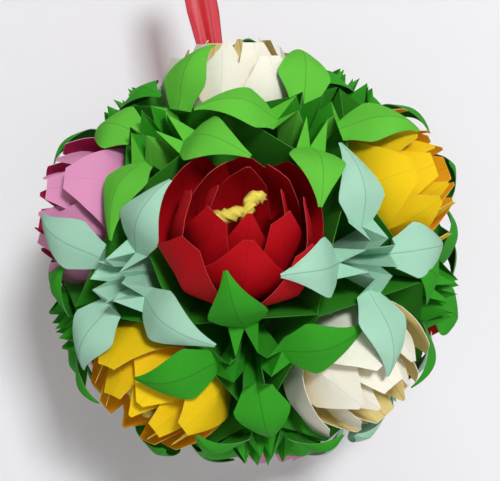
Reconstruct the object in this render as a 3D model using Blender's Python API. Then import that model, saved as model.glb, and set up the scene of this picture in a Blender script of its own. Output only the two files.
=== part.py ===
"""Kusudama: a hanging ball of folded paper flowers, lilies and five-cornered cups.

Twelve cups stand on the corners of an icosahedron and meet corner to corner. A flower with a twisted
stamen stands in each cup, and a four-leaf lily fills each three-cornered gap between three cups.
Units are metres, +Z is up, and the origin is where the hook carries the ribbon loop.
"""
import math
from itertools import combinations

import bmesh
import bpy
from mathutils import Matrix, Vector

# Paper and seats
PAPER = 0.0007
SEAT_GAP = 0.0003

# Cups: five walls that run towards the ball's centre
CUP_CORNERS = 5
CUP_RIM = 0.0557
CUP_DEPTH = 0.0380

# How the ball hangs: the front flower's heading, its rise and the turn about it, in degrees
BALL_DROP = 0.2050
BALL_YAW = -1.5
BALL_PITCH = 1.6
BALL_ROLL = -11.3

# Flowers: four nested bowls of four petals, measured from the flower's own base
PETALS = 4
BASE_RADIUS = 0.0168
BASE_STEP_IN = 0.0030
BASE_STEP_UP = 0.0010
BELLY_RADIUS = 0.0288
BELLY_HEIGHT = 0.0093
SPLIT_RADIUS = (0.0360, 0.0306, 0.0252, 0.0198)
SPLIT_HEIGHT = (0.0261, 0.0261, 0.0273, 0.0285)
SHOULDER_RADIUS = (0.0378, 0.0324, 0.0270, 0.0216)
SHOULDER_HEIGHT = (0.0429, 0.0453, 0.0489, 0.0513)
SHOULDER_HALF = (0.0228, 0.0190, 0.0144, 0.0108)
TIP_RADIUS = (0.0336, 0.0240, 0.0192, 0.0132)
TIP_HEIGHT = (0.0565, 0.0600, 0.0628, 0.0646)
TIP_HALF = (0.0054, 0.0024, 0.0048, 0.0018)
LEAN_PIVOT = 0.0330

# Stamens: a stem and two twisted ends of crepe paper
STEM_RADIUS = 0.0022
STAMEN_RISE = 0.0510
STAMEN_REACH = 0.0100
STAMEN_KNOB = 0.0036

# Lilies: a funnel with four tall pleats and four leaves that arch over the cups
LEAVES = 4
FUNNEL_DEPTH = 0.0400
FUNNEL_TIP = 0.0026
MOUTH_HALF = 0.0156
PLEAT_RISE = 0.0095
PLEAT_ALONG = 0.0070
PLEAT_ACROSS = 0.0052
FOLD_REACH = 0.0174
FOLD_HALF = 0.0130
LEAF_REACH = 0.0545
LEAF_RISE = 0.0080
LEAF_DROOP = 0.0055
LEAF_CUPPING = 0.15
LEAF_ROWS = ((0.20, 0.0156), (0.48, 0.0122), (0.76, 0.0064))
LEAF_CLEARANCE = 0.0016

# Ribbon: a gathered tail with a knot inside the ball, and a flat loop over the hook
RIBBON_WIDTH = 0.0180
RIBBON_WAIST = 0.0120
RIBBON_GATHER = 0.0036
RIBBON_THICK = 0.0006
RIBBON_KNOT = 0.0048
KNOT_INSET = 0.35
GATHER_START = 0.0880
GATHER_END = 0.1040
FLARE_LENGTH = 0.0600
LOOP_LENGTH = 0.0960
LOOP_RADIUS = 0.0070

FLOWER_COLOURS = ("red", "yellow", "cream", "pink", "yellow", "cream",
                  "yellow", "red", "pink", "pink", "red", "cream")
FLOWER_SPINS = (33.5, 10, 20, 5, 60, 40, 15, 50, 30, 70, 25, 0)
# Lean in degrees, and its direction: 0 is right and 90 is up, seen from outside
FLOWER_LEANS = {0: (10, 40), 1: (6, -85), 2: (5, -60), 3: (8, -106), 4: (5, 118), 5: (6, 0)}
# How far a flower is pushed over in its cup, to the right and up
FLOWER_PUSHES = {0: (0.0010, -0.0015), 3: (0.0005, -0.0015), 5: (0.0015, 0.0)}
MINT_LILIES = (1, 3, 14, 18)
# Extra lift of a leaf that passes over its neighbour's, by lily and leaf
LEAF_LIFTS = {(0, 1): 0.0045}
LILY_SPINS = (74, 3, 59, 39, 89, 20, 15, 55, 80, 45, 5, 45, 0, 55, 30, 35, 15, 45, 75, 80)

PAINT = {"red": (0.60, 0.02, 0.03), "yellow": (0.85, 0.62, 0.02), "cream": (0.86, 0.82, 0.66),
         "pink": (0.80, 0.42, 0.62), "green": (0.10, 0.42, 0.05), "mint": (0.45, 0.72, 0.60),
         "crepe": (0.80, 0.68, 0.14), "organza": (0.75, 0.03, 0.08)}

NEIGHBOUR_ANGLE = math.atan(2.0)
RIM_HEIGHT = CUP_RIM / math.tan(NEIGHBOUR_ANGLE / 2)
FLOOR_HEIGHT = RIM_HEIGHT - CUP_DEPTH
CORNER_REACH = math.hypot(CUP_RIM, RIM_HEIGHT)
GAP_SIDE = 2 * CUP_RIM * math.sin(math.pi / CUP_CORNERS)
LILY_HEIGHT = math.sqrt(CORNER_REACH ** 2 - GAP_SIDE ** 2 / 3) + PAPER / 2 + SEAT_GAP
FLOWER_HEIGHT = FLOOR_HEIGHT + PAPER + SEAT_GAP
CENTRE = Vector((0.0, 0.0, -BALL_DROP))


def clear_scene():
    for obj in list(bpy.data.objects):
        bpy.data.objects.remove(obj, do_unlink=True)


def ball_turn():
    """Turn that brings the first flower to -Y and hangs the ball as it is seen."""
    return (Matrix.Rotation(math.radians(BALL_YAW), 3, "Z") @ Matrix.Rotation(math.radians(BALL_PITCH), 3, "X")
            @ Matrix.Rotation(math.radians(BALL_ROLL), 3, "Y") @ Matrix.Rotation(math.pi / 2, 3, "X"))


def flower_directions():
    """Corners of an icosahedron: the front one, two rings of five and the back one."""
    sine, cosine = math.sin(NEIGHBOUR_ANGLE), math.cos(NEIGHBOUR_ANGLE)
    step = 2 * math.pi / CUP_CORNERS
    front = [(sine * math.cos(step * i), sine * math.sin(step * i), cosine) for i in range(CUP_CORNERS)]
    back = [(sine * math.cos(step * (i + 0.5)), sine * math.sin(step * (i + 0.5)), -cosine)
            for i in range(CUP_CORNERS)]
    turn = ball_turn()
    return [turn @ Vector(point) for point in [(0, 0, 1)] + front + back + [(0, 0, -1)]]


def lily_directions(flowers):
    """Middles of the icosahedron's faces: threes of flowers that are all neighbours."""
    nearest = NEIGHBOUR_ANGLE * 1.1
    return [(a + b + c).normalized() for a, b, c in combinations(flowers, 3)
            if max(a.angle(b), b.angle(c), a.angle(c)) < nearest]


def site(direction, height, spin=0.0):
    """Frame on the ball with Z outwards, X to the right and Y up, then spun about Z."""
    right = Vector((0, 0, 1)).cross(direction).normalized()
    up = direction.cross(right)
    frame = Matrix((right, up, direction)).transposed().to_4x4()
    return (Matrix.Translation(CENTRE + direction * height) @ frame
            @ Matrix.Rotation(math.radians(spin), 4, "Z"))


def site_towards(direction, target, height):
    """Frame on the ball with Z outwards and X towards the target direction."""
    ahead = (target - direction * target.dot(direction)).normalized()
    frame = Matrix((ahead, direction.cross(ahead), direction)).transposed().to_4x4()
    return Matrix.Translation(CENTRE + direction * height) @ frame


def flower_site(index, direction):
    """Seat of a flower: it leans about its middle, and its base stays on the cup's floor."""
    lean, heading = FLOWER_LEANS.get(index, (0, 0))
    tilt, heading = math.radians(lean), math.radians(heading)
    axis = Vector((-math.sin(heading), math.cos(heading), 0.0))
    lift = BASE_RADIUS * math.sin(tilt) + LEAN_PIVOT * (math.cos(tilt) - 1)
    push = Matrix.Translation((*FLOWER_PUSHES.get(index, (0.0, 0.0)), 0.0))
    return (site(direction, FLOWER_HEIGHT + LEAN_PIVOT + lift) @ push @ Matrix.Rotation(tilt, 4, axis)
            @ Matrix.Translation((0, 0, -LEAN_PIVOT)) @ Matrix.Rotation(math.radians(FLOWER_SPINS[index]), 4, "Z"))


def paint(name):
    material = bpy.data.materials.get(name) or bpy.data.materials.new(name)
    material.use_nodes = True
    shader = material.node_tree.nodes["Principled BSDF"]
    shader.inputs["Base Color"].default_value = (*PAINT[name], 1)
    shader.inputs["Roughness"].default_value = 0.7
    shader.inputs["Metallic"].default_value = 0.0
    return material


def place(name, mesh, matrix, colour):
    """New object with its own colour on a mesh that it may share with others."""
    obj = bpy.data.objects.new(name, mesh)
    bpy.context.collection.objects.link(obj)
    if not mesh.materials:
        mesh.materials.append(None)
    obj.material_slots[0].link = "OBJECT"
    obj.material_slots[0].material = paint(colour)
    obj.matrix_world = matrix
    return obj


def sheet_mesh(name, points, faces):
    mesh = bpy.data.meshes.new(name)
    mesh.from_pydata([tuple(point) for point in points], [], faces)
    edit = bmesh.new()
    edit.from_mesh(mesh)
    bmesh.ops.recalc_face_normals(edit, faces=edit.faces)
    edit.to_mesh(mesh)
    edit.free()
    return mesh


def solidify(obj, offset=0.0):
    thick = obj.modifiers.new("paper", "SOLIDIFY")
    thick.thickness = PAPER
    thick.offset = offset
    return obj


def baked(obj, name):
    """Plain mesh of the object with its modifiers applied; the object itself is removed."""
    graph = bpy.context.evaluated_depsgraph_get()
    mesh = bpy.data.meshes.new_from_object(obj.evaluated_get(graph))
    mesh.name = name
    bpy.data.objects.remove(obj, do_unlink=True)
    return mesh


def polar(radius, angle, height):
    return Vector((radius * math.cos(angle), radius * math.sin(angle), height))


def cup_mesh():
    """Open five-cornered cup whose walls run along the ball's radii."""
    step = 2 * math.pi / CUP_CORNERS
    rim = CUP_RIM - SEAT_GAP / 2
    floor = rim * FLOOR_HEIGHT / RIM_HEIGHT
    points = [polar(floor, step * i, 0.0) for i in range(CUP_CORNERS)]
    points += [polar(rim, step * i, CUP_DEPTH) for i in range(CUP_CORNERS)]
    faces = [tuple(range(CUP_CORNERS))[::-1]]
    for i in range(CUP_CORNERS):
        j = (i + 1) % CUP_CORNERS
        faces.append((i, j, j + CUP_CORNERS, i + CUP_CORNERS))
    return sheet_mesh("cup", points, faces)


class Shell:
    """Points and faces of a solid that is built up ring by ring."""

    def __init__(self):
        self.points = []
        self.faces = []

    def row(self, radius, height, angles):
        start = len(self.points)
        self.points += [polar(radius, angle, height) for angle in angles]
        return list(range(start, len(self.points)))

    def band(self, lower, upper, closed=False):
        pairs = list(zip(range(len(lower)), range(1, len(lower))))
        if closed:
            pairs.append((len(lower) - 1, 0))
        self.faces += [(lower[i], lower[j], upper[j], upper[i]) for i, j in pairs]


def add_petal(shell, layer, middle, outer, inner):
    """One petal on the three outer and three inner split points of its bowl."""
    for radius, height, half in (
            (SHOULDER_RADIUS[layer], SHOULDER_HEIGHT[layer], SHOULDER_HALF[layer]),
            (TIP_RADIUS[layer], TIP_HEIGHT[layer], TIP_HALF[layer])):
        spread = math.asin(half / radius)
        angles = [middle + spread * side for side in (-1, 0, 1)]
        next_outer = shell.row(radius + PAPER / 2, height, angles)
        next_inner = shell.row(radius - PAPER / 2, height, angles)
        shell.band(outer, next_outer)
        shell.band(next_inner, inner)
        for side in (0, -1):
            shell.faces.append((outer[side], next_outer[side], next_inner[side], inner[side]))
        outer, inner = next_outer, next_inner
    shell.band(outer, inner)


def flower_mesh():
    """Four nested bowls glued at their base, each with a rim that is split into four petals."""
    shell = Shell()
    half_step = math.pi / PETALS
    around = 2 * PETALS
    angles = [half_step * i for i in range(around)]
    base = shell.row(BASE_RADIUS, 0.0, angles)
    shell.faces.append(tuple(base))
    below = shell.row(BELLY_RADIUS + PAPER / 2, BELLY_HEIGHT, angles)
    shell.band(base, below, closed=True)
    for layer in range(len(SPLIT_RADIUS)):
        outer = shell.row(SPLIT_RADIUS[layer] + PAPER / 2, SPLIT_HEIGHT[layer], angles)
        inner = shell.row(SPLIT_RADIUS[layer] - PAPER / 2, SPLIT_HEIGHT[layer], angles)
        shell.band(below, outer, closed=True)
        for petal in range(PETALS):
            middle = 2 * petal + layer % 2
            around_petal = [(middle + side) % around for side in (-1, 0, 1)]
            add_petal(shell, layer, half_step * middle, [outer[i] for i in around_petal],
                      [inner[i] for i in around_petal])
        if layer == 0:
            belly = shell.row(BELLY_RADIUS - PAPER / 2, BELLY_HEIGHT, angles)
            shell.band(belly, inner, closed=True)
            inner = belly
        below = shell.row(BASE_RADIUS - BASE_STEP_IN * (layer + 1), PAPER + BASE_STEP_UP * layer, angles)
        shell.band(below, inner, closed=True)
    shell.faces.append(tuple(below))
    return sheet_mesh("flower", shell.points, shell.faces)


def joined(name, body, others):
    """Mesh of the body in Boolean union with the others, which are all removed."""
    for other in others:
        union = body.modifiers.new(other.name, "BOOLEAN")
        union.operation = "UNION"
        union.object = other
    mesh = baked(body, name)
    for other in others:
        bpy.data.objects.remove(other, do_unlink=True)
    return mesh


def loft(name, sections, ring=False):
    """Closed solid through sections of equal count, capped at its ends or joined into a ring."""
    count = len(sections[0])
    points = [point for section in sections for point in section]
    faces = []
    for a in range(len(sections) if ring else len(sections) - 1):
        b = (a + 1) % len(sections)
        for i in range(count):
            j = (i + 1) % count
            faces.append((a * count + i, a * count + j, b * count + j, b * count + i))
    if not ring:
        last = (len(sections) - 1) * count
        faces += [tuple(range(count))[::-1], tuple(range(last, last + count))]
    return sheet_mesh(name, points, faces)


def oval(centre, half_width, half_depth, sides=8):
    """Section across Z: an oval with its width along X."""
    step = 2 * math.pi / sides
    return [centre + Vector((half_width * math.cos(step * (i + 0.5)), half_depth * math.sin(step * (i + 0.5)), 0))
            for i in range(sides)]


def tube(name, route, radii):
    """Poly tube with a radius at each point of its route."""
    curve = bpy.data.curves.new(name, "CURVE")
    curve.dimensions = "3D"
    curve.bevel_depth = 1.0
    curve.bevel_resolution = 0
    curve.use_fill_caps = True
    spline = curve.splines.new("POLY")
    spline.points.add(len(route) - 1)
    for point, place_at, radius in zip(spline.points, route, radii):
        point.co = (*place_at, 1)
        point.radius = radius
    obj = bpy.data.objects.new(name, curve)
    bpy.context.collection.objects.link(obj)
    return place(name, baked(obj, name), Matrix(), "crepe")


def stamen_mesh():
    """A stem that stands on the flower's button, with two twisted ends."""
    foot = PAPER + BASE_STEP_UP * (len(SPLIT_RADIUS) - 1) + SEAT_GAP
    head = foot + STAMEN_RISE
    bend = Vector((0, 0, head))
    stem = tube("stem", [Vector((0, 0, foot)), Vector((0, 0, head - STAMEN_REACH)), bend,
                         bend + STAMEN_REACH * Vector((-0.7, -0.2, 0.15)),
                         bend + STAMEN_REACH * Vector((-1.4, -0.7, 0.0))],
                [STEM_RADIUS, STEM_RADIUS, STEM_RADIUS, STAMEN_KNOB, STEM_RADIUS])
    tail = tube("tail", [bend + STAMEN_REACH * Vector((-0.1, -0.05, -0.1)), bend + STAMEN_REACH * Vector((0.35, 0.6, 0.3)),
                         bend + STAMEN_REACH * Vector((0.45, 1.3, 0.5))],
                [STEM_RADIUS * 0.8, STEM_RADIUS, STAMEN_KNOB])
    return joined("stamen", stem, [tail])


def outer_profile():
    """Height and radius of the flower's outside from the first shoulder up to the innermost tips."""
    return [(SHOULDER_HEIGHT[0], SHOULDER_RADIUS[0])] + list(zip(TIP_HEIGHT, TIP_RADIUS))


def over_flower(point, seat):
    """Whether a point lies within a flower's outside, grown by the leaf clearance."""
    local = seat.inverted() @ point
    radius = math.hypot(local.x, local.y) - LEAF_CLEARANCE
    height = local.z - LEAF_CLEARANCE
    profile = outer_profile()
    if radius > SHOULDER_RADIUS[0] or not 0.0 < height <= profile[-1][0]:
        return False
    if height <= profile[0][0]:
        return True
    for (low, wide), (high, narrow) in zip(profile, profile[1:]):
        if height <= high:
            return radius < wide + (narrow - wide) * (height - low) / (high - low)
    return False


def leaf_rows(lift):
    """Rows of a leaf along +X from its fold to its tip: share of its length, reach, half width and height."""
    rows = []
    for share, half in ((0.0, FOLD_HALF),) + LEAF_ROWS + ((1.0, 0.0),):
        reach = FOLD_REACH + (LEAF_REACH - FOLD_REACH) * share
        height = LEAF_RISE * 4 * share * (1 - share) - LEAF_DROOP * share ** 2 + lift * share
        rows.append((share, reach, half, height))
    return rows


def leaf_lift(seat, turn, flowers):
    """Lift that carries a leaf clear over whatever flower lies below it."""
    lift = 0.0
    step = LEAF_CLEARANCE / 2
    for share, reach, half, height in leaf_rows(0.0)[1:]:
        for side in (-1, 0, 1):
            point = turn @ Vector((reach, side * half, height - LEAF_CUPPING * abs(side) * half))
            raised = 0.0
            while any(over_flower(seat @ (point + Vector((0, 0, raised))), flower) for flower in flowers):
                raised += step
            lift = max(lift, raised / share)
    return lift


def lily_mesh(name, seat, flowers, extra_lifts):
    """One folded square: a pleated funnel whose rim turns out into four arching leaves."""
    points, faces = [], []
    quarter = 2 * math.pi / LEAVES
    for leaf in range(LEAVES):
        turn = Matrix.Rotation(quarter * leaf, 4, "Z")
        lift = leaf_lift(seat, turn, flowers) + extra_lifts[leaf]
        points += [turn @ point for point in (
            Vector((FUNNEL_TIP, 0, -FUNNEL_DEPTH)),
            Matrix.Rotation(quarter / 2, 4, "Z") @ Vector((FUNNEL_TIP, 0, -FUNNEL_DEPTH)),
            Vector((MOUTH_HALF, 0, -PAPER)),
            Vector((PLEAT_ALONG, PLEAT_ACROSS, PLEAT_RISE)),
            Vector((PLEAT_ALONG, -PLEAT_ACROSS, PLEAT_RISE)))]
        for share, reach, half, height in leaf_rows(lift):
            sides = (-1, 0, 1) if half else (0,)
            for side in sides:
                if share == 0.0 and side == 0:
                    continue
                points.append(turn @ Vector((reach, side * half, height - LEAF_CUPPING * abs(side) * half * min(1, 4 * share))))
    per_leaf = len(points) // LEAVES
    tip, pleat, mouth, left, right, fold = range(6)
    for leaf in range(LEAVES):
        base = leaf * per_leaf
        after = (leaf + 1) % LEAVES * per_leaf
        before = (leaf - 1) % LEAVES * per_leaf
        faces += [(base + tip, base + pleat, base + left, base + mouth),
                  (before + pleat, base + tip, base + mouth, base + right),
                  (base + left, base + pleat, after + right),
                  (base + mouth, base + left, base + fold + 1),
                  (base + right, base + mouth, base + fold)]
        lower = (base + fold, base + mouth, base + fold + 1)
        for row in range(len(LEAF_ROWS)):
            upper = tuple(base + fold + 2 + 3 * row + side for side in range(3))
            faces += [(lower[0], lower[1], upper[1], upper[0]), (lower[1], lower[2], upper[2], upper[1])]
            lower = upper
        point = base + per_leaf - 1
        faces += [(lower[0], lower[1], point), (lower[1], lower[2], point)]
    faces.append(tuple(leaf * per_leaf + side for leaf in range(LEAVES) for side in (tip, pleat))[::-1])
    return sheet_mesh(name, points, faces)


def gap_corners(direction, flowers):
    """Directions of the three corners where the cups round a lily's gap meet."""
    return [(a + b).normalized() for a, b in combinations(sorted(flowers, key=direction.angle)[:3], 2)]


def ribbon_half_width(height):
    """Half width of the flat band, which narrows from its flare to its waist above the ball."""
    share = min(1.0, max(0.0, (-height - FLARE_LENGTH) / (LOOP_LENGTH - FLARE_LENGTH)))
    return (RIBBON_WIDTH + (RIBBON_WAIST - RIBBON_WIDTH) * share) / 2


def ribbon_mesh(corners, middle):
    """Knot wedged between two cup walls, a gathered tail up to Z, and a flat band that loops over the hook."""
    up = Vector((0, 0, 1))
    walls = [a.cross(b).normalized() for a, b in combinations(corners, 2)]
    inward = min(corners, key=up.angle).lerp(middle, KNOT_INSET).normalized()
    knot = CENTRE + inward * (RIBBON_KNOT + SEAT_GAP) / min(abs(inward.dot(wall)) for wall in walls)
    slim = RIBBON_GATHER / 2
    waist = ribbon_half_width(-LOOP_LENGTH)
    tail = [oval(*section) for section in (
        (knot - RIBBON_KNOT / 2 * up, RIBBON_KNOT / 3, RIBBON_KNOT / 3),
        (knot, RIBBON_KNOT, RIBBON_KNOT),
        (knot + RIBBON_KNOT * inward, RIBBON_KNOT, RIBBON_KNOT),
        (knot + 1.5 * RIBBON_KNOT * inward, slim, slim),
        (CENTRE + GATHER_START * up, slim, slim),
        (CENTRE + GATHER_END * up, slim, slim),
        ((2 * RIBBON_THICK - LOOP_LENGTH) * up, waist, slim))]
    body = place("tail", loft("tail", tail), Matrix(), "organza")
    radius = LOOP_RADIUS + RIBBON_THICK / 2
    arc = [math.radians(angle) for angle in range(-10, 191, 25)]
    route = [(-1.2 * RIBBON_THICK, -LOOP_LENGTH), (1.2 * RIBBON_THICK, -LOOP_LENGTH),
             (LOOP_RADIUS / 2, -FLARE_LENGTH)]
    route += [(radius * math.cos(angle), radius * math.sin(angle) - LOOP_RADIUS) for angle in arc]
    route.append((-LOOP_RADIUS / 2, -FLARE_LENGTH))
    sections = []
    for i, (y, z) in enumerate(route):
        behind, ahead = route[i - 1], route[(i + 1) % len(route)]
        out = Vector((0, ahead[1] - behind[1], behind[0] - ahead[0])).normalized() * RIBBON_THICK / 2
        across = Vector((ribbon_half_width(z), 0, 0))
        sections.append([Vector((0, y, z)) + end * across + side * out
                         for end, side in ((-1, -1), (1, -1), (1, 1), (-1, 1))])
    band = place("band", loft("band", sections, ring=True), Matrix(), "organza")
    return joined("ribbon", body, [band])


def build():
    clear_scene()
    flowers = flower_directions()
    lilies = lily_directions(flowers)
    cup, flower, stamen = cup_mesh(), flower_mesh(), stamen_mesh()
    seats = [flower_site(index, direction) for index, direction in enumerate(flowers)]
    for index, direction in enumerate(flowers):
        neighbour = min((other for other in flowers if other is not direction), key=direction.angle)
        number = f"{index + 1:02d}"
        solidify(place(f"calyx_cup_{number}", cup, site_towards(direction, neighbour, FLOOR_HEIGHT), "green"), -1.0)
        colour = FLOWER_COLOURS[index]
        place(f"flower_{number}_{colour}", flower, seats[index], colour)
        place(f"stamen_{number}", stamen, seats[index], "crepe")
    for index, direction in enumerate(lilies):
        colour = "mint" if index in MINT_LILIES else "green"
        name = f"lily_{index + 1:02d}_{colour}"
        seat = site(direction, LILY_HEIGHT, LILY_SPINS[index])
        lifts = [LEAF_LIFTS.get((index, leaf), 0.0) for leaf in range(LEAVES)]
        solidify(place(name, lily_mesh(name, seat, seats, lifts), seat, colour))
    top = min(lilies, key=Vector((0, 0, 1)).angle)
    place("ribbon", ribbon_mesh(gap_corners(top, flowers), top), Matrix(), "organza")


build()
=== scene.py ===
# %% [markdown]
# A kusudama is a ball of folded paper flowers. Twelve five-cornered cups meet corner to corner, each
# holds one flower of four nested layers, and a four-leaf lily fills every gap between three cups.
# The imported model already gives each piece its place. These cells give each piece its folded form and
# its paper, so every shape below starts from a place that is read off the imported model.

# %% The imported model
import math
from itertools import combinations

import bpy
import numpy as np
from mathutils import Matrix, Vector


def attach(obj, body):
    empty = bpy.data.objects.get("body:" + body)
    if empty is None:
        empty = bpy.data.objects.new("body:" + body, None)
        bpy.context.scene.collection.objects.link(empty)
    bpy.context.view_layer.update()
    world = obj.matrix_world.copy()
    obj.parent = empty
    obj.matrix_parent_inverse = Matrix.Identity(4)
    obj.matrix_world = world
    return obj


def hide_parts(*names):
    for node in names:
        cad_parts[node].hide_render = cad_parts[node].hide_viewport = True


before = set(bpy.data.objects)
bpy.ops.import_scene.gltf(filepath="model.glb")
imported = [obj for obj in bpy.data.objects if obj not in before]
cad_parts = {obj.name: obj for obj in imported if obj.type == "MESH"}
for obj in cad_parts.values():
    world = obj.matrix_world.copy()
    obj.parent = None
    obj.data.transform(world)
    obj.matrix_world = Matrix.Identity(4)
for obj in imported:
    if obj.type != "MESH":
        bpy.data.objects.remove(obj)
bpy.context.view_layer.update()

names = sorted(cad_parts)

# %% [markdown]
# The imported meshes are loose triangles, so a corner is there several times. Taking each corner once makes
# a cup's middle fall exactly on its axis, and the middle of the twelve cups is the middle of the ball.

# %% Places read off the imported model
CORNER_DECIMALS = 5


def corners(name):
    """Every different corner of a node, as rows of x, y, z to a hundredth of a millimetre."""
    points = [vertex.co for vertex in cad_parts[name].data.vertices]
    different = {tuple(round(value, CORNER_DECIMALS) for value in point) for point in points}
    return np.array(sorted(different))


cup_names = [name for name in names if name.startswith("calyx_cup")]
flower_names = [name for name in names if name.startswith("flower")]
lily_names = [name for name in names if name.startswith("lily")]
stamen_names = [name for name in names if name.startswith("stamen")]
cup_middles = [Vector(corners(name).mean(axis=0)) for name in cup_names]
CENTRE = sum(cup_middles, Vector()) / len(cup_middles)
cup_axes = [(middle - CENTRE).normalized() for middle in cup_middles]
print("ball centre", tuple(round(value, 4) for value in CENTRE))

# %% [markdown]
# Each piece is built flat on its own bench, with Z as the way out of the ball, and then carried to its
# seat. The seat's X points to the right and its Y up, as seen from outside the ball.

# %% Seats on the ball
UP = Vector((0, 0, 1))
NEIGHBOUR_ANGLE = math.atan(2.0)      # between two neighbouring cups, seen from the ball's middle
NEAR = 1.1 * NEIGHBOUR_ANGLE          # two cups within this angle are neighbours


def seat_at(origin, axis, spin=0.0):
    """Matrix that carries a piece from the bench to its seat; spin turns it about its own axis."""
    right = UP.cross(axis).normalized()
    turn = Matrix((right, axis.cross(right), axis)).transposed().to_4x4()
    return Matrix.Translation(origin) @ turn @ Matrix.Rotation(spin, 4, "Z")


def bench_points(points, seat):
    """Points of the model as they lie on the bench of that seat."""
    return np.array([seat.inverted() @ Vector(point) for point in points])


# %% [markdown]
# The photograph was taken a little from below with a long lens. The camera stands about two and a half
# ball widths from the middle of the ball, and the picture is shifted so that the ball stays where it was
# framed. The distance, the lens and both directions were fitted to where the flowers and leaves are seen.

# %% The camera
def new_object(name, data):
    """New object in the scene."""
    made = bpy.data.objects.new(name, data)
    bpy.context.scene.collection.objects.link(made)
    return made


PICTURE_WIDTH = 500
PICTURE_HEIGHT = 481
FOCAL_PIXELS = 1155.41
BALL_PIXEL = (250.97, 257.39)
CAMERA_DISTANCE = 0.62592
CAMERA_RIGHT = Vector((0.98156158, 0.03868205, -0.18719126))
CAMERA_UP = Vector((0.1911462, -0.19863757, 0.96125244))
SENSOR = 36.0
camera_back = CAMERA_RIGHT.cross(CAMERA_UP).normalized()
camera_data = bpy.data.cameras.new("camera")
camera_data.sensor_width = SENSOR
camera_data.lens = SENSOR * FOCAL_PIXELS / PICTURE_WIDTH
camera_data.shift_x = (PICTURE_WIDTH / 2 - BALL_PIXEL[0]) / PICTURE_WIDTH
camera_data.shift_y = (BALL_PIXEL[1] - PICTURE_HEIGHT / 2) / PICTURE_WIDTH
camera_data.clip_start = 0.01
camera = new_object("camera", camera_data)
camera.matrix_world = (Matrix.Translation(CENTRE + camera_back * CAMERA_DISTANCE)
                       @ Matrix((CAMERA_RIGHT, CAMERA_UP, camera_back)).transposed().to_4x4())
bpy.context.scene.camera = camera
bpy.context.scene.view_settings.view_transform = "Standard"
print(f"lens {camera_data.lens:.1f} mm")


# %% [markdown]
# Colours are easier to judge as they look on a screen, from 0 to 255, so they are written that way and
# turned into the linear values that Blender's shaders work with.

# %% Colours
def screen(red, green, blue):
    """Linear colour of a screen colour that is given from 0 to 255."""
    linear = [value / 12.92 if value <= 0.04045 else ((value + 0.055) / 1.055) ** 2.4
              for value in (red / 255, green / 255, blue / 255)]
    return (*linear, 1.0)


GREEN = screen(44, 140, 30)
# Painted light: the two upper lilies get this lighter green for the light that falls on them from above
LIT_GREEN = screen(98, 192, 60)
GREEN_BACK = screen(52, 154, 34)
MINT = screen(164, 212, 186)
CALYX = screen(52, 140, 34)
RED = screen(192, 12, 24)
# Painted shade: the red paper is red on both sides, and its inside is made darker for the shade inside the
# bowls
RED_INSIDE_SHADE = screen(178, 8, 20)
YELLOW = screen(242, 202, 20)
# The yellow and cream are warmer on the inside of their bowls than on the outside
YELLOW_INSIDE = screen(246, 176, 24)
CREAM = screen(246, 243, 226)
CREAM_INSIDE = screen(248, 228, 156)
PINK = screen(220, 146, 186)
PINK_INSIDE = screen(206, 44, 104)
CREPE = screen(232, 214, 92)
ORGANZA = screen(198, 6, 26)
WALL = screen(242, 241, 245)

# %% [markdown]
# Folding paper is matt, with fine fibres and a slightly uneven dye. Along a fold the colour is darkened
# in a fine line, which is painted shade in the crease. One node group makes all of that: it gives the
# colour with that painted shade, the height of the fibres and folds, and the roughness. Each paper then
# uses it with its own values.

# %% Node helpers
def add_node(tree, kind, settings=None, values=None):
    """New node with its settings and the values of its unlinked inputs."""
    made = tree.nodes.new(kind)
    for name, value in (settings or {}).items():
        setattr(made, name, value)
    for name, value in (values or {}).items():
        made.inputs[name].default_value = value
    return made


def new_group(name, kind, inputs, outputs):
    """Empty node group with named sockets, its input node and its output node."""
    group = bpy.data.node_groups.new(name, kind)
    for label, socket_type, default in inputs:
        socket = group.interface.new_socket(label, in_out="INPUT", socket_type=socket_type)
        if default is not None:
            socket.default_value = default
    for label, socket_type in outputs:
        group.interface.new_socket(label, in_out="OUTPUT", socket_type=socket_type)
    return group, group.nodes.new("NodeGroupInput"), group.nodes.new("NodeGroupOutput")


def maths(tree, operation, *values, clamp=False):
    """Output of a Math node. Each value is a number or the output of another node."""
    made = add_node(tree, "ShaderNodeMath", {"operation": operation, "use_clamp": clamp})
    for socket, value in zip(made.inputs, values):
        if isinstance(value, bpy.types.NodeSocket):
            tree.links.new(value, socket)
        else:
            socket.default_value = value
    return made.outputs[0]
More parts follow.
